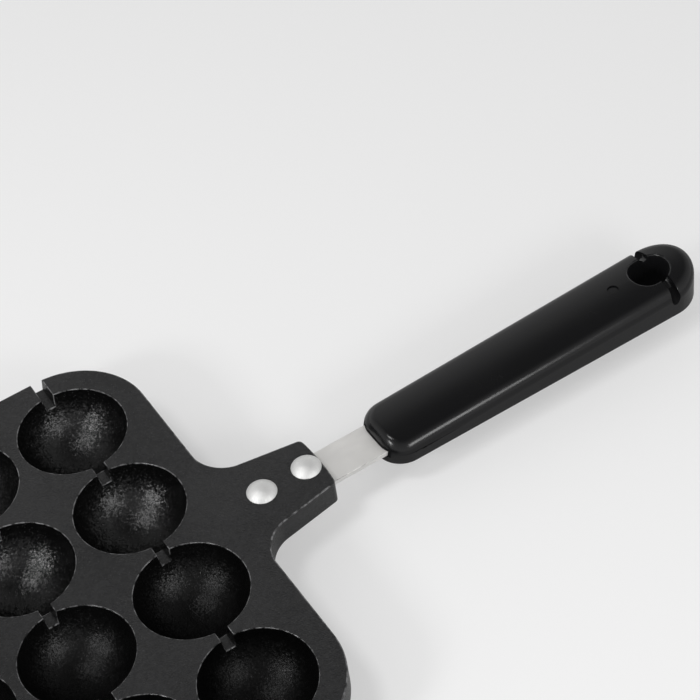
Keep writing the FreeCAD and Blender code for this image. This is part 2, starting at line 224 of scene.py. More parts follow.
def addCamera():
    data = bpy.data.cameras.new("camera")
    data.lens = camera["lens"]
    data.sensor_width = camera["sensor"]
    data.clip_start, data.clip_end = camera["clip"]
    shown = bpy.data.objects.new("camera", data)
    heading, dip = math.radians(camera["heading"]), math.radians(camera["dip"])
    forward = Vector((
        math.cos(heading) * math.cos(dip), math.sin(heading) * math.cos(dip), -math.sin(dip)
    ))
    upright = forward.to_track_quat("-Z", "Y")
    shown.rotation_mode = "QUATERNION"
    shown.rotation_quaternion = upright @ Quaternion((0, 0, 1), math.radians(camera["roll"]))
    shown.location = [c * mm for c in camera["place"]]
    bpy.context.scene.collection.objects.link(shown)
    bpy.context.scene.camera = shown


addCamera()
print("camera set")


# the cast plate, in mm
plate = {
    "pitch": 46,
    "along": 3,
    "across": 4,
    "rimRadius": 20.9,
    "margin": 9.8,  # from an outer cup's rim to the plate's edge
    "cupDepth": 19.8,
    "wall": 3,
    "top": 22,
    "deck": 6.2,
    "skirt": 10.3,
    "skirtWall": 3.6,
    "groove": (4.9, 3.5, 5.4),  # width at the top, width at the foot, depth
    "rimEdge": 0.3,
    "outerEdge": 0.5,
    "neckLength": 36.9,
    "neckEnd": 25,
    "neckBow": 0.8,
    "neckTaper": 9.4,
    "neckRoot": 14,
    "neckCorners": (4.6, 2.4),  # on the -Y side and on the +Y side
    "neckDeck": 5.2,
    "channel": 9.7,
    "channelPast": 2,
    "rivets": (88.7, 107.7),
    "rivetHole": 2.6,
    "rimRoom": 5,  # rounded rims end this far before the first rivet
    "grooveBand": 0.5,  # edges that reach lower than this below the foot stay sharp
    "outlineBand": 0.6,  # edges this near the outline have their own rounding
    "footBand": 0.2,  # edges lower than this below a groove's foot stay sharp
    "bowlBand": 0.2,  # faces this near a cup's ball are its inside
    "upright": 0.9,  # steepness that makes a face a groove's wall
    "cornerSteps": 32,
    "bowCuts": 15,
    "neckCornerSteps": 10,
    "rootSteps": 20,
    "domeSteps": (72, 36),
    "cupSteps": (96, 60),
}


def cupPlaces():
    for row in range(plate["along"]):
        for column in range(plate["across"]):
            x = (row - (plate["along"] - 1) / 2) * plate["pitch"]
            y = (column - (plate["across"] - 1) / 2) * plate["pitch"]
            yield x, y


def roundedSlab(name, halfX, halfY, radius, low, high):
    slab = addBlock(name, (-halfX, -halfY, low), (halfX, halfY, high))
    bevelEdges(slab, isUpright, radius, plate["cornerSteps"])
    return slab


def neckBlock(root, end, low):
    half = plate["neckEnd"] / 2
    rootHalf = half + (end - root) * math.tan(math.radians(plate["neckTaper"]))
    neck = addBlock("neck", (root, -half, low), (end, half, plate["top"]))
    shape = openPiece(neck)
    for edge in shape.edges:
        flat = abs(edge.verts[0].co.z - edge.verts[1].co.z) < level
        edge.select_set(flat and all(v.co.x > (end - nearby) * mm for v in edge.verts))
    bmesh.update_edit_mesh(neck.data)
    bpy.ops.mesh.subdivide(number_cuts=plate["bowCuts"])
    for vert in bmesh.from_edit_mesh(neck.data).verts:
        if vert.co.x < (root + nearby) * mm:
            vert.co.y = math.copysign(rootHalf * mm, vert.co.y)
        else:
            vert.co.x += plate["neckBow"] * mm * (1 - (vert.co.y / (half * mm)) ** 2)
    bmesh.update_edit_mesh(neck.data)
    closePiece()
    for side, radius in zip((-1, 1), plate["neckCorners"]):
        bevelEdges(
            neck,
            lambda e: isUpright(e) and e.verts[0].co.x > (end - nearby) * mm
            and e.verts[0].co.y * side > (half - nearby) * mm and bends(e),
            radius, plate["neckCornerSteps"],
        )
    return neck, rootHalf


def domeUnder(x, y, centre, radius):
    dome = addBall("dome", (x, y, centre), radius, plate["domeSteps"])
    for height, outward in ((0, False), (plate["top"] - plate["deck"] / 2, True)):
        openPiece(dome)
        bpy.ops.mesh.select_all(action="SELECT")
        bpy.ops.mesh.bisect(
            plane_co=(0, 0, height * mm), plane_no=(0, 0, 1), use_fill=True,
            clear_inner=not outward, clear_outer=outward,
        )
        closePiece()
    return dome


def grooveTool(x, reach):  # widens upward
    width, foot, deep = plate["groove"]
    top = plate["top"]
    tool = addBlock(
        "groove", (x - foot / 2, -reach, top - deep), (x + foot / 2, reach, top + overrun)
    )
    widen = (width - foot) / 2 * (deep + overrun) / deep * mm
    for vert in tool.data.vertices:
        if vert.co.z > top * mm:
            vert.co.x += math.copysign(widen, vert.co.x - x * mm)
    return tool


def addNeck(block, halfX, low):
    end = halfX + plate["neckLength"] - plate["neckBow"]
    neck, rootHalf = neckBlock(halfX - plate["skirtWall"], end, low)
    combine(block, neck, "UNION")
    mergeFlatFaces(block)
    taper = math.radians(plate["neckTaper"])
    rootWidth = plate["neckRoot"] * math.tan((math.pi / 2 - taper) / 2)
    bevelEdges(
        block,
        lambda e: isUpright(e) and abs(e.verts[0].co.x - halfX * mm) < slack
        and abs(e.verts[0].co.y) < rootHalf * mm,
        rootWidth, plate["rootSteps"],
    )
    return end


def hollowUnderside(block, halfX, halfY, corner, end, low):
    top, wall = plate["top"], plate["skirtWall"]
    hollow = roundedSlab(
        "hollow", halfX - wall, halfY - wall, corner - wall, low - overrun, top - plate["deck"]
    )
    combine(block, hollow, "DIFFERENCE")
    past = end + plate["channelPast"]
    channel = addBlock(
        "channel", (halfX - wall - overrun, -plate["channel"], low - overrun),
        (past, plate["channel"], top - plate["neckDeck"]),
    )
    widen = (past - halfX) * math.tan(math.radians(plate["neckTaper"])) * mm
    for vert in channel.data.vertices:
        if vert.co.x < halfX * mm:
            vert.co.y += math.copysign(widen, vert.co.y)
    combine(block, channel, "DIFFERENCE")


def buildPlate():
    corner = plate["rimRadius"] + plate["margin"]
    halfX = (plate["along"] - 1) / 2 * plate["pitch"] + corner
    halfY = (plate["across"] - 1) / 2 * plate["pitch"] + corner
    top, low = plate["top"], plate["top"] - plate["skirt"]
    block = roundedSlab("panPlate", halfX, halfY, corner, low, top)
    end = addNeck(block, halfX, low)
    bevelEdges(block, lambda e: atHeight(e, top) and bends(e), plate["outerEdge"], edgeSteps)
    hollowUnderside(block, halfX, halfY, corner, end, low)
    print("plate block cast")

    depth, rim = plate["cupDepth"], plate["rimRadius"]
    radius = (rim ** 2 + depth ** 2) / (2 * depth)
    centre = top - depth + radius
    spots = list(cupPlaces())
    domes = [domeUnder(x, y, centre, radius + plate["wall"]) for x, y in spots]
    combine(block, joined(domes), "UNION")
    print("domes added")
    balls = [addBall("cup", (x, y, centre), radius, plate["cupSteps"]) for x, y in spots]
    combine(block, joined(balls), "DIFFERENCE")
    print("cups cut")
    deep = plate["groove"][-1]
    grooves = [grooveTool(x, halfY + overrun) for x in sorted({x for x, y in spots})]
    combine(block, joined(grooves), "DIFFERENCE")
    hole = plate["rivetHole"]
    holes = [addRod("hole", (x, 0), hole, low, top + overrun) for x in plate["rivets"]]
    combine(block, joined(holes), "DIFFERENCE")
    lip = (top - deep - plate["grooveBand"]) * mm
    hidden = (min(plate["rivets"]) - plate["rimRoom"]) * mm
    bevelEdges(
        block,
        lambda e: min(v.co.z for v in e.verts) > lip and bends(e)
        and max(v.co.x for v in e.verts) < hidden and not atOutline(e, halfX, halfY),
        plate["rimEdge"], edgeSteps, clamp=False,
    )
    markBowls(block, spots, centre, radius)
    smoothPiece(block)
    return block


def markBowls(block, spots, height, radius):  # the cups' inner faces and the grooves' walls, which get the coating's painted shade
    bowls = block.data.attributes.new("bowl", "FLOAT", "FACE")
    centres = [Vector((x, y, height)) * mm for x, y in spots]
    rows = {x for x, y in spots}
    half = plate["groove"][0] / 2
    for face, entry in zip(block.data.polygons, bowls.data):
        spot = face.center
        away = min((spot - centre).length for centre in centres)
        beside = min(abs(spot.x / mm - x) for x in rows)
        wall = abs(face.normal.x) > plate["upright"] and beside < half
        if abs(away - radius * mm) < plate["bowlBand"] * mm or wall:
            entry.value = 1


def atOutline(edge, halfX, halfY):
    middle = (edge.verts[0].co + edge.verts[1].co) / 2 / mm
    band = plate["outlineBand"]
    foot = plate["top"] - plate["groove"][-1] - plate["footBand"]
    return abs(middle.x) > halfX - band or abs(middle.y) > halfY - band or middle.z < foot


panPlate = buildPlate()


# the strip, its screw and the rivets, in mm
strip = {
    "ends": (80.7, 199.8),
    "width": 16.2,
    "low": 14.8,
    "high": 16.8,
    "corner": 2,
    "cornerSteps": 8,
    "edge": 0.3,
    "screwHole": 2.1,
}
screw = {
    "place": 165.8,
    "low": 11.5,
    "tip": 18.3,
    "shank": 2,
    "head": 3.7,
    "headHigh": 1.9,
    "cross": (0.9, 1.9, 1.2),  # width, half length, depth
    "edge": 0.12,
    "edgeSteps": 2,
    "steps": 48,
}
rivet = {
    "head": 5.85,
    "rise": 3,
    "shank": 2.5,
    "tail": 4.2,
    "tailHigh": 1.6,
    "edge": 0.25,
    "steps": 72,
    "capSteps": 14,
}


def buildStrip():
    half, low, high = strip["width"] / 2, strip["low"], strip["high"]
    start, end = strip["ends"]
    piece = addBlock("gripStrip", (start, -half, low), (end, half, high))
    bevelEdges(piece, isUpright, strip["corner"], strip["cornerSteps"])
    spots = [(x, plate["rivetHole"]) for x in plate["rivets"]]
    spots.append((screw["place"], strip["screwHole"]))
    holes = [addRod("hole", (x, 0), r, low - overrun, high + overrun) for x, r in spots]
    combine(piece, joined(holes), "DIFFERENCE")
    bevelEdges(piece, bends, strip["edge"], edgeSteps)
    smoothPiece(piece)
    return piece


def addRadialMap(piece, x):  # turn round the axis, then distance from it
    layer = piece.data.uv_layers.new(name="radial")
    for face in piece.data.polygons:
        around = math.atan2(face.center.y, face.center.x - x * mm)
        for loop in face.loop_indices:
            spot = piece.data.vertices[piece.data.loops[loop].vertex_index].co
            away = spot.xy - Vector((x * mm, 0))
            turn = math.atan2(away.y, away.x) if away.length > slack else around
            if turn - around > math.pi:
                turn -= 2 * math.pi
            elif around - turn > math.pi:
                turn += 2 * math.pi
            layer.data[loop].uv = turn, away.length / mm / rivet["head"]


def buildRivet(name, x):
    top, low = plate["top"], strip["low"]
    head, rise = rivet["head"], rivet["rise"]
    ball = (head ** 2 + rise ** 2) / (2 * rise)
    centre = top + rise - ball
    rim = math.degrees(math.asin((top - centre) / ball))
    outline = [
        *roundCorner((0, centre), ball, 90, rim, rivet["capSteps"]),
        (rivet["shank"], top),
        (rivet["shank"], low),
        (rivet["tail"], low),
        (rivet["tail"], low - rivet["tailHigh"]),
        (0, low - rivet["tailHigh"]),
    ]
    piece = spunPiece(name, (x, 0), outline, rivet["steps"])
    bevelEdges(piece, bends, rivet["edge"], edgeSteps)
    addRadialMap(piece, x)
    smoothPiece(piece)
    return piece


def buildScrew():
    x, low, shank = screw["place"], screw["low"], screw["shank"]
    outline = [
        (0, screw["tip"]),
        (shank, screw["tip"]),
        (shank, low + screw["headHigh"]),
        (screw["head"], low),
        (0, low),
    ]
    piece = spunPiece("gripScrew", (x, 0), outline, screw["steps"])
    width, reach, deep = screw["cross"]
    for long, wide in ((reach, width / 2), (width / 2, reach)):
        slot = addBlock("slot", (x - long, -wide, low - overrun), (x + long, wide, low + deep))
        combine(piece, slot, "DIFFERENCE")
    bevelEdges(piece, bends, screw["edge"], screw["edgeSteps"])
    smoothPiece(piece)
    return piece


# the grip, in mm and degrees
grip = {
    "nose": 135.8,
    "end": 282.2,
    "low": 11.2,
    "top": 22,
    "noseWidth": 27.8,
    "endWidth": 29.2,
    "noseCorner": 10.4,
    "cornerSteps": 20,
    "endGap": 0.02,  # left between the end's two roundings, then merged
    "endMerge": 0.1,
    "shoulder": 4.2,
    "shoulderSteps": 14,
    "crown": 36,  # radius of the top across the grip
    "crownBand": 0.1,  # points this far below the shoulder's foot still rise with the top
    "rise": 2.05,  # of the top toward the end
    "cells": (4, 1.5),  # size of the top's faces
    "cellStart": 10,  # behind the nose
    "cellSide": 9,  # to either side of the middle
    "lowEdge": 0.5,
    "eye": 264,
    "eyeSize": (16.8, 14.6),
    "eyeDraft": 3,  # how much its half width shrinks toward its foot
    "eyeSteps": 96,
    "eyeEdge": 0.6,
    "eyeEdgeSteps": 4,
    "eyeBand": 0.3,  # edges this far outside the eye still belong to it
    "eyeSlope": 0.4,  # faces steeper than this are the eye's walls
    "ring": (266.3, 7.2, 19.7, 2),  # place, height, radius, half width of the groove
    "ringSteps": (144, 36),
    "ringEdge": 0.3,
    "ringAngle": 25,  # edges sharper than this are rounded
    "ringBand": 0.02,  # what lies this near the groove's surface belongs to it
    "ringSide": 9.4,  # the groove is matte beyond this
    "dimple": (247, 2.3, 0.6),  # place, radius, depth
    "mouth": (8.3, 14.8, 16.9, 64.2),  # half width, foot, roof, depth
    "lip": (14.3, 18, 9.4),  # foot, top and half width of the matte face round the mouth
    "lipDepth": 5,
    "lean": (1.8, 13, 21, 16),  # most, from this height, to this height, how far back
    "screwHead": 3.8,
    "screwHole": 2.1,
    "screwTip": 18.8,
    "smooth": 35,
}


def gripBar():
    halfNose, halfEnd = grip["noseWidth"] / 2, grip["endWidth"] / 2
    nose, end, low, top = grip["nose"], grip["end"], grip["low"], grip["top"]
    bar = addBlock("gripBody", (nose, -halfNose, low), (end, halfNose, top))
    for vert in bar.data.vertices:
        if vert.co.x > (end - nearby) * mm:
            vert.co.y = math.copysign(halfEnd * mm, vert.co.y)

    def atNose(edge):
        return isUpright(edge) and edge.verts[0].co.x < (nose + nearby) * mm

    def atEnd(edge):
        return isUpright(edge) and edge.verts[0].co.x > (end - nearby) * mm

    bevelEdges(bar, atNose, grip["noseCorner"], grip["cornerSteps"])
    bevelEdges(bar, atEnd, halfEnd - grip["endGap"], grip["cornerSteps"])
    openPiece(bar, "VERT")
    bpy.ops.mesh.select_all(action="SELECT")
    bpy.ops.mesh.remove_doubles(threshold=grip["endMerge"] * mm)
    closePiece()
    bevelEdges(bar, lambda e: atHeight(e, top), grip["shoulder"], grip["shoulderSteps"])
    bevelEdges(bar, lambda e: atHeight(e, low), grip["lowEdge"], edgeSteps)
    return bar


def cutEye(bar):  # narrower toward its foot
    long, wide = grip["eyeSize"]
    low, top = grip["low"], grip["top"]
    tool = addRod("eye", (0, 0), wide / 2, low - overrun, top + overrun, grip["eyeSteps"])
    stretch = (long - wide) / 2 * mm
    slope = grip["eyeDraft"] / (wide / 2) / (top + overrun - low)
    for vert in tool.data.vertices:
        keep = 1 - slope * (top - vert.co.z / mm)
        along = vert.co.x * keep
        if abs(along) > slack:
            along += math.copysign(stretch, along)
        vert.co.x = along + grip["eye"] * mm
        vert.co.y *= keep
    combine(bar, tool, "DIFFERENCE")
    inside = (long / 2 + grip["eyeBand"]) * mm

    def aroundEye(edge):
        middle = (edge.verts[0].co + edge.verts[1].co) / 2
        near = (middle - Vector((grip["eye"] * mm, 0, middle.z))).length < inside
        return near and bends(edge) and not isUpright(edge)

    bevelEdges(bar, aroundEye, grip["eyeEdge"], grip["eyeEdgeSteps"])


def cutSmallThings(bar):
    start, above = grip["low"] - overrun, grip["top"] + overrun
    x, radius, deep = grip["dimple"]
    combine(bar, addRod("dimple", (x, 0), radius, grip["top"] - deep, above), "DIFFERENCE")
    half, low, high, depth = grip["mouth"]
    front, back = grip["nose"] - overrun, grip["nose"] + depth
    combine(bar, addBlock("mouth", (front, -half, low), (back, half, high)), "DIFFERENCE")
    x, hole, head = screw["place"], grip["screwHole"], grip["screwHead"]
    combine(bar, addRod("hole", (x, 0), hole, start, grip["screwTip"]), "DIFFERENCE")
    seat, neck = screw["low"], screw["low"] + screw["headHigh"]
    outline = [(0, start), (head, start), (head, seat), (hole, neck), (0, neck)]
    combine(bar, spunPiece("sink", (x, 0), outline, screw["steps"]), "DIFFERENCE")


def cellLines(start, end, step):
    count = math.floor((end - start) / step)
    return [start + step * i for i in range(count + 1)]


def crownShape(x, y):  # how far the top lies above a level one, in mm
    climb = math.tan(math.radians(grip["rise"])) * (x - grip["nose"])
    return climb + math.sqrt(grip["crown"] ** 2 - y ** 2) - grip["crown"]


def raiseCrown(bar):
    stepX, stepY = grip["cells"]
    low, high, side = grip["lip"]
    linesX = cellLines(grip["nose"] + grip["cellStart"], grip["end"], stepX)
    linesY = [*cellLines(-grip["cellSide"], grip["cellSide"], stepY), -side, side]
    cuts = [((x * mm, 0, 0), (1, 0, 0)) for x in linesX]
    cuts += [((0, y * mm, 0), (0, 1, 0)) for y in linesY]
    cuts += [((0, 0, z * mm), (0, 0, 1)) for z in (low, (low + high) / 2, high)]
    openPiece(bar)
    for place, along in cuts:
        bpy.ops.mesh.select_all(action="SELECT")
        bpy.ops.mesh.bisect(plane_co=place, plane_no=along)
    closePiece()
    foot = (grip["top"] - grip["shoulder"] - grip["crownBand"]) * mm
    for vert in bar.data.vertices:
        if vert.co.z > foot:
            vert.co.z += crownShape(vert.co.x / mm, vert.co.y / mm) * mm


def leanNose(bar):
    most, low, high, reach = grip["lean"]
    for vert in bar.data.vertices:
        share = 1 - (vert.co.x / mm - grip["nose"]) / reach
        if share > 0:
            up = min(max((vert.co.z / mm - low) / (high - low), 0), 1)
            vert.co.x += most * up ** 2 * (3 - 2 * up) * share ** 2 * mm


def cutRingGroove(bar):  # for a cord, all the way round
    x, height, radius, wire = grip["ring"]
    around, across = grip["ringSteps"]
    bpy.ops.mesh.primitive_torus_add(
        major_segments=around, minor_segments=across, major_radius=radius * mm,
        minor_radius=wire * mm, location=(x * mm, 0, height * mm), rotation=(0, math.pi / 2, 0),
    )
    combine(bar, settle(bpy.context.active_object), "DIFFERENCE")
    centre = Vector((x * mm, 0, height * mm))

    def alongGroove(edge):
        for vert in edge.verts:
            arm = vert.co - centre
            out = math.hypot(arm.y, arm.z) - radius * mm
            if abs(math.hypot(out, arm.x) - wire * mm) > grip["ringBand"] * mm:
                return False
        return isSharp(edge, grip["ringAngle"]) and edge.is_convex

    bevelEdges(bar, alongGroove, grip["ringEdge"], edgeSteps)


def markInside(bar):  # matte, and darker as painted shade: the eye's walls, the ring groove's sides, the face round the mouth
    long, wide = grip["eyeSize"]
    x, height, radius, wire = grip["ring"]
    low, high, side = grip["lip"]
    past = grip["nose"] + grip["lipDepth"]
    for face in bar.data.polygons:
        spot = face.center / mm
        inEye = abs(spot.x - grip["eye"]) < long / 2 and abs(spot.y) < wide / 2
        steep = abs(face.normal.z) < grip["eyeSlope"]
        out = math.hypot(spot.y, spot.z - height) - radius
        inRing = math.hypot(out, spot.x - x) < wire + grip["ringBand"]
        outer = abs(spot.y) > grip["ringSide"]
        inLip = spot.x < past and abs(spot.y) < side and low < spot.z < high
        if (inEye and steep) or (inRing and outer) or inLip:
            face.material_index = 1


def buildGrip():
    bar = gripBar()
    cutEye(bar)
    cutSmallThings(bar)
    raiseCrown(bar)
    leanNose(bar)
    cutRingGroove(bar)
    markInside(bar)
    smoothPiece(bar, grip["smooth"])
    return bar


gripStrip = buildStrip()
rivetFront = buildRivet("rivetFront", max(plate["rivets"]))
rivetRear = buildRivet("rivetRear", min(plate["rivets"]))
gripScrew = buildScrew()
print("strip, rivets and screw made")
gripPiece = buildGrip()
print("grip made")


def addNode(tree, kind, **settings):
    node = tree.nodes.new("ShaderNode" + kind)
    for name, setting in settings.items():
        setattr(node, name, setting)
    return node


def fill(tree, socket, value):  # a plain value, or a socket to link
    if isinstance(value, bpy.types.NodeSocket):
        tree.links.new(value, socket)
    else:
        socket.default_value = value


def feed(tree, node, **values):
    for name, value in values.items():
        fill(tree, node.inputs[name.replace("_", " ")], value)
    return node


def newGroup(name, inputs, outputs):  # names of the sockets and their kinds
    tree = bpy.data.node_groups.new(name, "ShaderNodeTree")
    for way, sockets in (("INPUT", inputs), ("OUTPUT", outputs)):
        for label, kind in sockets.items():
            tree.interface.new_socket(label, in_out=way, socket_type="NodeSocket" + kind)
    given, result = tree.nodes.new("NodeGroupInput"), tree.nodes.new("NodeGroupOutput")
    return tree, given.outputs, result


def calculate(tree, way, *values, kind="Math", **named):
    node = addNode(tree, kind, operation=way)
    for socket, value in zip(node.inputs, values):
        fill(tree, socket, value)
    return feed(tree, node, **named).outputs[0]


def spread(tree, value, span, reach=(0, 1)):  # stretches one range of values to another
    node = addNode(tree, "MapRange")
    return feed(
        tree, node, Value=value, From_Min=span[0], From_Max=span[1], To_Min=reach[0],
        To_Max=reach[1],
    ).outputs[0]


def addNoise(tree, place, scale, detail, rough=0.5):
    node = addNode(tree, "TexNoise")
    return feed(tree, node, Vector=place, Scale=scale, Detail=detail, Roughness=rough)


# the patterns that the finishes share
patterns = {
    "cloudDetail": 4,
    "cloudSpan": (0.32, 0.68),
    "grainDetail": (2, 0.6),  # detail and roughness of the noise
    "pebbleScale": 0.7,  # of the grain's own scale
    "pebbleSpan": (0.1, 0.7),
    "pebbleHeight": 0.5,
    "speckShare": 0.9,  # cells above this carry a speck
    "speckSize": 0.33,
    "brushDetail": (3, 0.65),
    "edgeWearAndReflectionDetail": 5,
    "edgeWearAndReflectionSpan": (0.42, 0.6),
    "bend": (40, 1, 0.012),  # of the hairlines: scale, detail, how far
    "hairWidth": 0.006,
    "hairPatch": (90, 2),
    "hairSpan": (0.56, 0.66),
}


def cloudGroup():  # soft patches between two values
    inputs = {"Vector": "Vector", "Scale": "Float", "Low": "Float", "High": "Float"}
    tree, given, result = newGroup("clouds", inputs, {"Value": "Float"})
    noise = addNoise(tree, given["Vector"], given["Scale"], patterns["cloudDetail"])
    reach = given["Low"], given["High"]
    feed(tree, result, Value=spread(tree, noise.outputs[0], patterns["cloudSpan"], reach))
    return tree


def grainGroup():  # fine pebbled surface with a few larger specks
    inputs = {"Vector": "Vector", "Scale": "Float"}
    tree, given, result = newGroup("grain", inputs, {"Height": "Float", "Speck": "Float"})
    fine = addNoise(tree, given["Vector"], given["Scale"], *patterns["grainDetail"])
    size = calculate(tree, "MULTIPLY", given["Scale"], patterns["pebbleScale"])
    cell = feed(tree, addNode(tree, "TexVoronoi"), Vector=given["Vector"], Scale=size)
    away = cell.outputs["Distance"]
    bump = spread(tree, away, patterns["pebbleSpan"], (1, 0))
    height = calculate(tree, "MULTIPLY_ADD", bump, patterns["pebbleHeight"], fine.outputs[0])
    pick = addNode(tree, "SeparateColor")
    tree.links.new(cell.outputs["Color"], pick.inputs[0])
    chosen = calculate(tree, "GREATER_THAN", pick.outputs[0], patterns["speckShare"])
    dot = calculate(tree, "LESS_THAN", away, patterns["speckSize"])
    feed(tree, result, Height=height, Speck=calculate(tree, "MULTIPLY", chosen, dot))
    return tree


def flakeGroup():  # small facets, each tilted its own way
    inputs = {"Vector": "Vector", "Scale": "Float", "Tilt": "Float"}
    tree, given, result = newGroup("flakes", inputs, {"Normal": "Vector"})
    cell = feed(tree, addNode(tree, "TexVoronoi"), Vector=given["Vector"], Scale=given["Scale"])
    grey = (0.5, 0.5, 0.5)
    aim = calculate(tree, "SUBTRACT", cell.outputs["Color"], grey, kind="VectorMath")
    tilted = calculate(tree, "SCALE", aim, kind="VectorMath", Scale=given["Tilt"])
    straight = addNode(tree, "NewGeometry").outputs["Normal"]
    turned = calculate(tree, "ADD", tilted, straight, kind="VectorMath")
    feed(tree, result, Normal=calculate(tree, "NORMALIZE", turned, kind="VectorMath"))
    return tree


def brushGroup():  # drawn lines along one axis
    inputs = {"Vector": "Vector", "Stretch": "Vector", "Scale": "Float"}
    tree, given, result = newGroup("brushed", inputs, {"Value": "Float"})
    shape = feed(tree, addNode(tree, "Mapping"), Vector=given["Vector"], Scale=given["Stretch"])
    lines = addNoise(tree, shape.outputs[0], given["Scale"], *patterns["brushDetail"])
    feed(tree, result, Value=lines.outputs[0])
    return tree


def edgeWearAndReflectionGroup():  # the rounded edges, broken up: wear on the grip, a painted highlight on the plate's rims, painted dark reflections on the strip's edges
    inputs = {"Vector": "Vector", "Scale": "Float"}
    tree, given, result = newGroup("edgeWearAndReflection", inputs, {"Mask": "Float"})
    edge = addNode(tree, "Attribute", attribute_name="edge").outputs["Fac"]
    noise = addNoise(tree, given["Vector"], given["Scale"], patterns["edgeWearAndReflectionDetail"])
    broken = spread(tree, noise.outputs[0], patterns["edgeWearAndReflectionSpan"])
    feed(tree, result, Mask=calculate(tree, "MULTIPLY", edge, broken))
    return tree


def scratchGroup():  # sparse hairlines
    inputs = {"Vector": "Vector", "Scale": "Float"}
    tree, given, result = newGroup("scratches", inputs, {"Mask": "Float"})
    scale, detail, far = patterns["bend"]
    bend = addNoise(tree, given["Vector"], scale, detail).outputs["Color"]
    moved = calculate(
        tree, "MULTIPLY_ADD", bend, (far, far, far), given["Vector"], kind="VectorMath"
    )
    cell = addNode(tree, "TexVoronoi", feature="DISTANCE_TO_EDGE")
    feed(tree, cell, Vector=moved, Scale=given["Scale"])
    thin = spread(tree, cell.outputs["Distance"], (0, patterns["hairWidth"]), (1, 0))
    patch = addNoise(tree, given["Vector"], *patterns["hairPatch"])
    some = spread(tree, patch.outputs[0], patterns["hairSpan"])
    feed(tree, result, Mask=calculate(tree, "MULTIPLY", thin, some))
    return tree


groups = {
    "clouds": cloudGroup(),
    "grain": grainGroup(),
    "flakes": flakeGroup(),
    "brush": brushGroup(),
    "edgeWearAndReflection": edgeWearAndReflectionGroup(),
    "scratches": scratchGroup(),
}


def useGroup(tree, name, place, scale, **values):
    node = tree.nodes.new("ShaderNodeGroup")
    node.node_tree = groups[name]
    return feed(tree, node, Vector=place, Scale=scale, **values).outputs


def addClouds(tree, place, scale, low, high):
    return useGroup(tree, "clouds", place, scale, Low=low, High=high)["Value"]


def newMaterial(name, colour, roughness, metallic=0):  # plain first, patterns are linked later
    material = bpy.data.materials.new(name)
    material.use_nodes = True
    tree = material.node_tree
    shader = tree.nodes["Principled BSDF"]
    feed(tree, shader, Base_Color=(*colour, 1), Roughness=roughness, Metallic=metallic)
    return material, tree, shader


def objectPlace(tree):
    return addNode(tree, "TexCoord").outputs["Object"]


def mixColours(tree, share, colours):
    node = addNode(tree, "Mix", data_type="RGBA")
    fill(tree, node.inputs[0], share)
    for socket, colour in zip(node.inputs[6:8], colours):  # the sockets for colours
        linked = isinstance(colour, bpy.types.NodeSocket)
        fill(tree, socket, colour if linked else (*colour, 1))
    return node.outputs[2]


def addBump(tree, shader, height, strength, deep, before=None):  # deep in mm
    bump = feed(tree, addNode(tree, "Bump"), Height=height, Strength=strength, Distance=deep * mm)
    if before is not None:
        tree.links.new(before, bump.inputs["Normal"])
    tree.links.new(bump.outputs[0], shader.inputs["Normal"])
    return bump.outputs[0]


# the coating: glinting in the cups, with a darker base there and on the grooves' walls as painted
# shade; the cups on the -Y side are duller, with dimmed glints and a lighter base as painted
# light
plateFinish = {
    "plain": ((0.013, 0.013, 0.0135), 0.3),
    "deck": ((0.0105, 0.0105, 0.011), (0.021, 0.021, 0.0215)),
    # painted shade: the cups and the grooves' walls get a darker base than the deck
    "bowl": ((0.0025, 0.0025, 0.0025), (0.008, 0.008, 0.008)),
    "speck": (0.032, 0.032, 0.033),
    # painted highlight: rounded rims and edges lightened where light catches them
    "edge": (0.17, 0.17, 0.173),
    # painted light: the -Y cups get a lighter base and dulled glints
    "fadedSide": (15, -20),  # mm along y, from none to all
    "fadedRough": 0.17,
    "fadedMetal": 0.85,
    "fadedTilt": -0.05,
    "tilt": (0.1, 0.27),  # of the flakes, on the deck and in the cups
    "tone": (24, 0, 1),  # clouds: scale, lowest value, highest value
    "blotch": (420, -0.25, 0.25),
    "dull": (60, 0.155, 0.19),
    "edgeWearAndReflection": 420,
    "flakes": 1800,
    "grain": 2600,
    "bump": (0.4, 0.2),  # strength, then depth in mm
}


def plateMaterial():
    look = plateFinish
    material, tree, shader = newMaterial("coatedPlate", *look["plain"])
    place = objectPlace(tree)
    grain = useGroup(tree, "grain", place, look["grain"])
    tone = addClouds(tree, place, *look["tone"])
    patchy = calculate(tree, "ADD", tone, addClouds(tree, place, *look["blotch"]))
    edgeWearAndReflectionMask = useGroup(tree, "edgeWearAndReflection", place, look["edgeWearAndReflection"])["Mask"]
    bowl = addNode(tree, "Attribute", attribute_name="bowl").outputs["Fac"]
    split = feed(tree, addNode(tree, "SeparateXYZ"), Vector=place)
    # painted light: a lighter base and dulled glints in the -Y cups
    side = spread(tree, split.outputs["Y"], [y * mm for y in look["fadedSide"]])
    fadedSide = calculate(tree, "MULTIPLY", side, bowl)
    deck = mixColours(tree, patchy, look["deck"])
    # painted shade: the darker bowl colours on the cups and the grooves' walls
    inner = mixColours(tree, fadedSide, look["bowl"])
    base = mixColours(tree, bowl, (deck, inner))
    speckled = mixColours(tree, grain["Speck"], (base, look["speck"]))
    dull = addClouds(tree, place, *look["dull"])
    # painted highlight: the rounded edges lightened along the broken edge mask
    feed(
        tree, shader, Base_Color=mixColours(tree, edgeWearAndReflectionMask, (speckled, look["edge"])),
        Roughness=calculate(tree, "MULTIPLY_ADD", fadedSide, look["fadedRough"], dull),
        Metallic=calculate(tree, "MULTIPLY", fadedSide, look["fadedMetal"]),
    )
    lean = spread(tree, bowl, (0, 1), look["tilt"])
    tilt = calculate(tree, "MULTIPLY_ADD", fadedSide, look["fadedTilt"], lean)
    flakes = useGroup(tree, "flakes", place, look["flakes"], Tilt=tilt)
    addBump(tree, shader, grain["Height"], *look["bump"], flakes["Normal"])
    return material


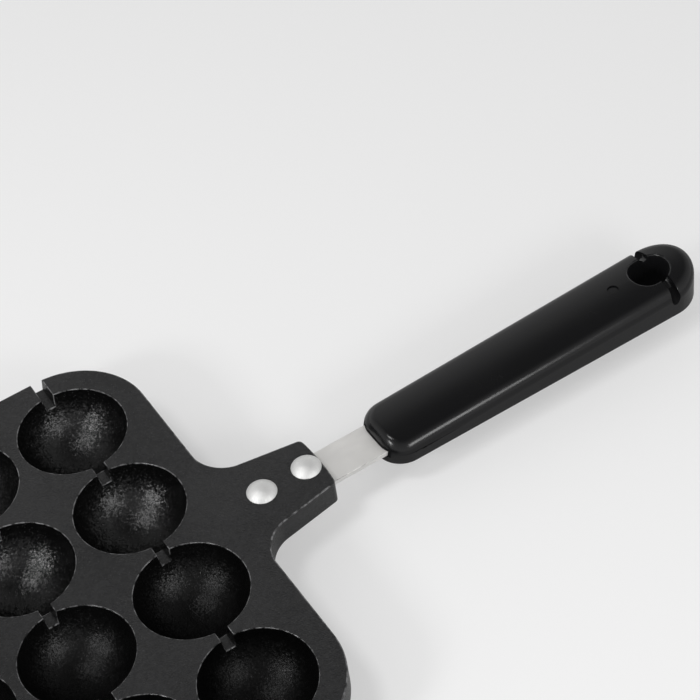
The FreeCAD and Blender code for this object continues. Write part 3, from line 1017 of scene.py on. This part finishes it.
stripFinish = {
    "plain": ((0.62, 0.61, 0.585), 0.5, 1),
    "colours": ((0.92, 0.91, 0.89), (0.99, 0.98, 0.96)),
    # painted reflection: the rounded edges darkened into dark lines
    "edge": (0.5, 0.48, 0.47),
    "tone": (70, 0, 1),  # clouds: scale, lowest value, highest value
    "edgeWearAndReflection": 160,
    "lines": ((0.06, 1, 1), 1800),  # stretch and scale
    "roughSpan": (0.3, 0.7),
    "rough": (0.56, 0.7),
    "bump": (0.12, 0.1),
}


def stripMaterial():
    look = stripFinish
    material, tree, shader = newMaterial("stripMetal", *look["plain"])
    place = objectPlace(tree)
    stretch, scale = look["lines"]
    lines = useGroup(tree, "brush", place, scale, Stretch=stretch)["Value"]
    base = mixColours(tree, addClouds(tree, place, *look["tone"]), look["colours"])
    edgeWearAndReflectionMask = useGroup(tree, "edgeWearAndReflection", place, look["edgeWearAndReflection"])["Mask"]
    # painted reflection: darker rounded edges
    feed(
        tree, shader, Base_Color=mixColours(tree, edgeWearAndReflectionMask, (base, look["edge"])),
        Roughness=spread(tree, lines, look["roughSpan"], look["rough"]),
    )
    addBump(tree, shader, lines, *look["bump"])
    return material


rivetFinish = {
    "plain": ((0.93, 0.93, 0.92), 0.5, 1),
    "colours": ((0.7, 0.7, 0.69), (0.98, 0.98, 0.97)),
    "fan": ((1, 0.12, 1), 26),  # stretch and scale
    "roughSpan": (0.3, 0.7),
    "rough": (0.66, 0.52),
    "grain": 2200,
    "grainBump": (0.08, 0.1),
    "fanBump": (0.3, 0.2),
}


def rivetMaterial():
    look = rivetFinish
    material, tree, shader = newMaterial("rivetMetal", *look["plain"])
    radial = addNode(tree, "UVMap", uv_map="radial").outputs[0]
    stretch, scale = look["fan"]
    fan = useGroup(tree, "brush", radial, scale, Stretch=stretch)["Value"]
    feed(
        tree, shader, Base_Color=mixColours(tree, fan, look["colours"]),
        Roughness=spread(tree, fan, look["roughSpan"], look["rough"]),
    )
    grain = useGroup(tree, "grain", objectPlace(tree), look["grain"])["Height"]
    first = addBump(tree, shader, grain, *look["grainBump"])
    addBump(tree, shader, fan, *look["fanBump"], first)
    return material


gripFinish = {
    "plain": ((0.006, 0.006, 0.0065), 0.13),
    "edge": (0.02, 0.02, 0.021),
    "gloss": 0.35,
    "smudge": (45, 0.14, 0.22),
    "hairs": (120, 0.15),  # scale, then the roughness that they add
    "edgeWearAndReflection": 300,
    "ripple": (160, 1),  # scale and detail
    "bump": (0.05, 0.4),
}


def gripMaterial():
    look = gripFinish
    material, tree, shader = newMaterial("gripPlastic", *look["plain"])
    place = objectPlace(tree)
    scale, dull = look["hairs"]
    hair = useGroup(tree, "scratches", place, scale)["Mask"]
    smudge = addClouds(tree, place, *look["smudge"])
    edgeWearAndReflectionMask = useGroup(tree, "edgeWearAndReflection", place, look["edgeWearAndReflection"])["Mask"]
    feed(
        tree, shader, Base_Color=mixColours(tree, edgeWearAndReflectionMask, (look["plain"][0], look["edge"])),
        Roughness=calculate(tree, "MULTIPLY_ADD", hair, dull, smudge),
        Specular_IOR_Level=look["gloss"],
    )
    ripple = addNoise(tree, place, *look["ripple"])
    addBump(tree, shader, ripple.outputs[0], *look["bump"])
    return material


recessFinish = {
    # painted shade: a little darker than the grip
    "plain": ((0.004, 0.004, 0.0045), 0.7),
    "gloss": 0.08,
    "dull": (90, 0.62, 0.8),
    "grain": 1800,
    "bump": (0.2, 0.1),
}


def recessMaterial():  # unpolished walls of the grip's holes, also made darker and almost unreflecting as painted shade
    look = recessFinish
    material, tree, shader = newMaterial("gripRecess", *look["plain"])
    place = objectPlace(tree)
    dull = addClouds(tree, place, *look["dull"])
    feed(tree, shader, Roughness=dull, Specular_IOR_Level=look["gloss"])
    grain = useGroup(tree, "grain", place, look["grain"])
    addBump(tree, shader, grain["Height"], *look["bump"])
    return material


screwFinish = {
    "plain": ((0.6, 0.6, 0.59), 0.35, 1),
    "colours": ((0.48, 0.47, 0.44), (0.68, 0.68, 0.66)),
    "lines": ((1, 1, 0.1), 2500),
    "bump": (0.15, 0.1),
}


def screwMaterial():
    look = screwFinish
    material, tree, shader = newMaterial("screwMetal", *look["plain"])
    stretch, scale = look["lines"]
    lines = useGroup(tree, "brush", objectPlace(tree), scale, Stretch=stretch)["Value"]
    feed(tree, shader, Base_Color=mixColours(tree, lines, look["colours"]))
    addBump(tree, shader, lines, *look["bump"])
    return material


coatedPlate = plateMaterial()
stripMetal = stripMaterial()
rivetMetal = rivetMaterial()
gripPlastic = gripMaterial()
gripRecess = recessMaterial()
screwMetal = screwMaterial()
print("finishes mixed")
finishPiece(panPlate, "pan_plate", "coated_plate", coatedPlate)
finishPiece(gripStrip, "grip_strip", "strip_metal", stripMetal)
finishPiece(rivetFront, "rivet_front", "rivet_metal", rivetMetal)
finishPiece(rivetRear, "rivet_rear", "rivet_metal", rivetMetal)
finishPiece(gripPiece, "grip", "grip_plastic", gripPlastic, gripRecess)
finishPiece(gripScrew, "grip_screw", "screw_metal", screwMetal)


studio = {
    "floorSize": 6,  # m
    "floor": 0.62,
    "floorRough": 0.9,
    "floorGlow": 0.35,
    "sky": ((0, 0.85), (0.35, 0.72), (0.7, 0.5), (0.9, 0.15), (1, 0.08)),  # height, brightness
    "lamps": {  # place, point it faces, size in mm, brightness
        "leftLamp": ((-680, -122, 450), (30, 40, 10), (170, 170), 22),
        "nearLamp": ((290, -700, 400), (120, 0, 10), (300, 170), 9),
        "highLamp": ((-270, 60, 840), (30, 40, 10), (220, 220), 11),
    },
}


def addFloor():
    bpy.ops.mesh.primitive_plane_add(size=studio["floorSize"], location=(0, 0, 0))
    floor = bpy.context.active_object
    floor.name = "floor"
    grey = (studio["floor"],) * 3
    material, tree, shader = newMaterial("floorPaper", grey, studio["floorRough"])
    seen = addNode(tree, "LightPath").outputs["Is Camera Ray"]
    glow = calculate(tree, "MULTIPLY", seen, studio["floorGlow"])
    feed(tree, shader, Emission_Color=(1, 1, 1, 1), Emission_Strength=glow)
    floor.data.materials.append(material)


def addLamp(name, place, target, size, brightness):
    data = bpy.data.lights.new(name, "AREA")
    data.shape = "RECTANGLE"
    data.size, data.size_y = size[0] * mm, size[1] * mm
    data.energy = brightness * math.pi * data.size * data.size_y
    lamp = bpy.data.objects.new(name, data)
    lamp.location = [c * mm for c in place]
    aim = Vector(target) - Vector(place)
    lamp.rotation_euler = aim.to_track_quat("-Z", "Y").to_euler()
    bpy.context.scene.collection.objects.link(lamp)


def addSky():
    sky = bpy.data.worlds.new("studio")
    sky.use_nodes = True
    bpy.context.scene.world = sky
    tree = sky.node_tree
    place = addNode(tree, "TexCoord").outputs["Generated"]
    height = feed(tree, addNode(tree, "SeparateXYZ"), Vector=place).outputs["Z"]
    ramp = addNode(tree, "ValToRGB")
    stops = ramp.color_ramp.elements
    stops.remove(stops[1])
    for spot, bright in studio["sky"]:
        stop = stops.new(spot) if spot else stops[0]
        stop.color = (bright, bright, bright, 1)
    feed(tree, ramp, Fac=height)
    feed(tree, tree.nodes["Background"], Color=ramp.outputs["Color"])


addFloor()
addSky()
for name, (place, target, size, brightness) in studio["lamps"].items():
    addLamp(name, place, target, size, brightness)
print("floor and light set")

bpy.context.scene.view_settings.view_transform = "Standard"
